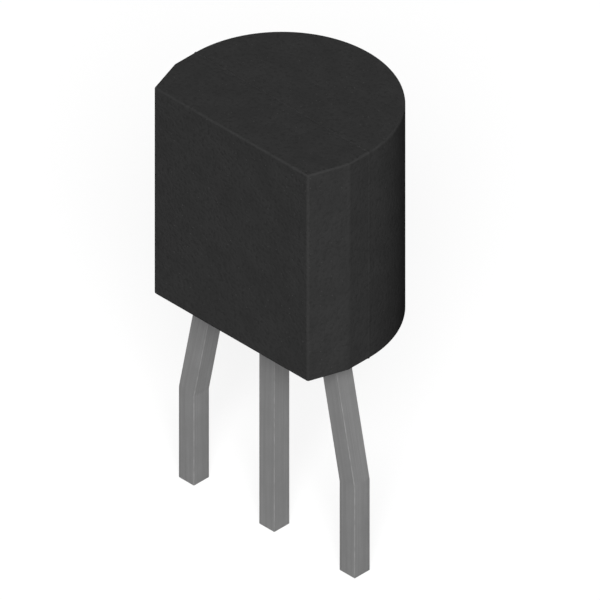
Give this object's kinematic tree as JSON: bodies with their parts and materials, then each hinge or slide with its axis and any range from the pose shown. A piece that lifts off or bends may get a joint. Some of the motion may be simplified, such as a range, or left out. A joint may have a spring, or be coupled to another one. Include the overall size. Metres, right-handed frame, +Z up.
{
  "type": "temperature sensor",
  "caption": "Temperature sensor in a D-shaped black moulded package, with square leads spread apart and cut short for a circuit board.",
  "frame": {"origin": "on the centre lead's axis, at the top face of the board that the leads go through", "axes": "+Z up from the board through the body, +X along the row of leads, -Y out of the body's flat face"},
  "size_m": [0.0052, 0.0041, 0.0108],
  "materials": {
    "epoxy": "charcoal moulding compound with a fine satin skin",
    "tinned_lead": "matte tin plate over copper alloy, dull grey",
    "silicon": "polished silicon with a glassy protective layer",
    "silver_glue": "silver-filled epoxy glue",
    "gold_wire": "drawn gold wire"
  },
  "bodies": {
    "root": {"moulded_body": "epoxy", "left_lead": "tinned_lead", "centre_lead": "tinned_lead", "right_lead": "tinned_lead", "sensor_die": "silicon", "die_attach": "silver_glue", "left_bond_wire": "gold_wire", "centre_bond_wire": "gold_wire", "right_bond_wire": "gold_wire"}
  },
  "joints": []
}
